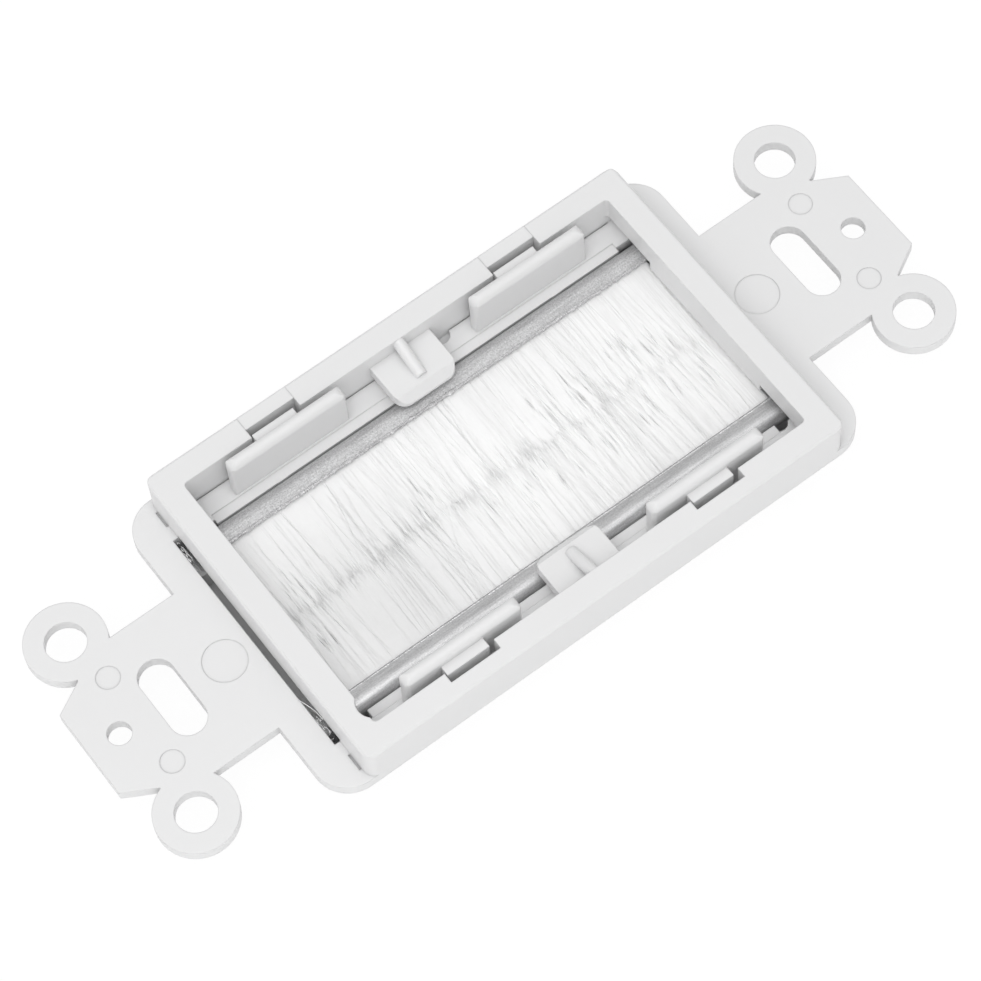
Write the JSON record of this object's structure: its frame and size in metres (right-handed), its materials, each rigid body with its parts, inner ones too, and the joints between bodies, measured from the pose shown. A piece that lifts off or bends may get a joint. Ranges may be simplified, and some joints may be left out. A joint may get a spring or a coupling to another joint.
{
  "type": "brush wall plate",
  "caption": "Flat strap with ring ears, a raised rear frame with snap clips and tongues, and facing brush strips that close a cable window.",
  "frame": {"origin": "middle of the bezel's front face, the lowest face of the part", "axes": "+X along the strap, +Y across the strap, +Z to the rear, toward the wall box"},
  "size_m": [0.1044, 0.0402, 0.0133],
  "materials": {
    "frame_plastic": "satin moulded white",
    "channel_metal": "galvanised sheet",
    "wire_metal": "plain wire",
    "bristle_filament": "fine translucent white filament"
  },
  "bodies": {
    "root": {"mounting_frame": "frame_plastic", "brush_channel_left": "channel_metal", "brush_channel_right": "channel_metal", "core_wire_left": "wire_metal", "core_wire_right": "wire_metal", "bristles_left": "bristle_filament", "bristles_right": "bristle_filament"}
  },
  "joints": []
}
